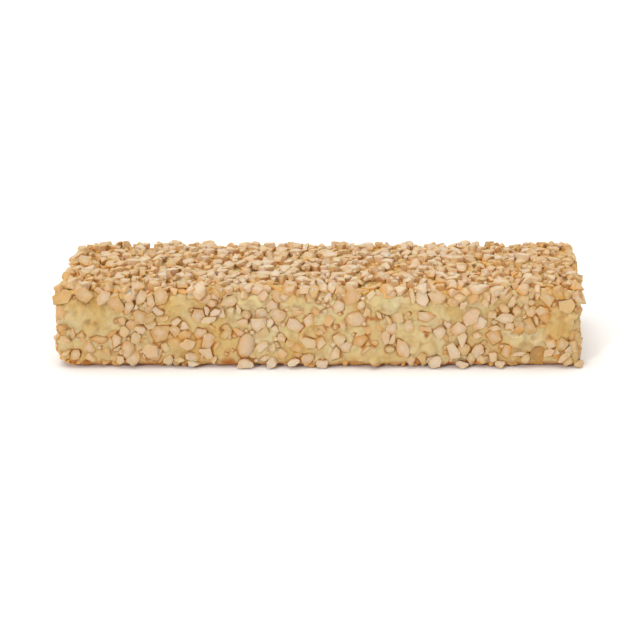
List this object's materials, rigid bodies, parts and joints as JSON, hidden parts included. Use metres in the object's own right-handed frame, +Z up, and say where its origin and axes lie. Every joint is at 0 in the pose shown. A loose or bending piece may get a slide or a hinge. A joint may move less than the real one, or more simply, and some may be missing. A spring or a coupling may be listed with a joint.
{
  "type": "nougat slice",
  "caption": "Long rectangular bar of cream cake coated in pale buttercream and pressed all over with chopped roasted nuts.",
  "frame": {"origin": "middle of the flat underside, where the bar stands on the table", "axes": "+X along the bar, towards the right in the picture; -Y out of the long side that the picture shows; +Z up"},
  "size_m": [0.2862, 0.0829, 0.0478],
  "materials": {
    "nut_coated_cream": "soft matt buttercream with waxy chopped nuts pressed into it"
  },
  "bodies": {
    "root": {"nougat_slice": "nut_coated_cream"}
  },
  "joints": []
}
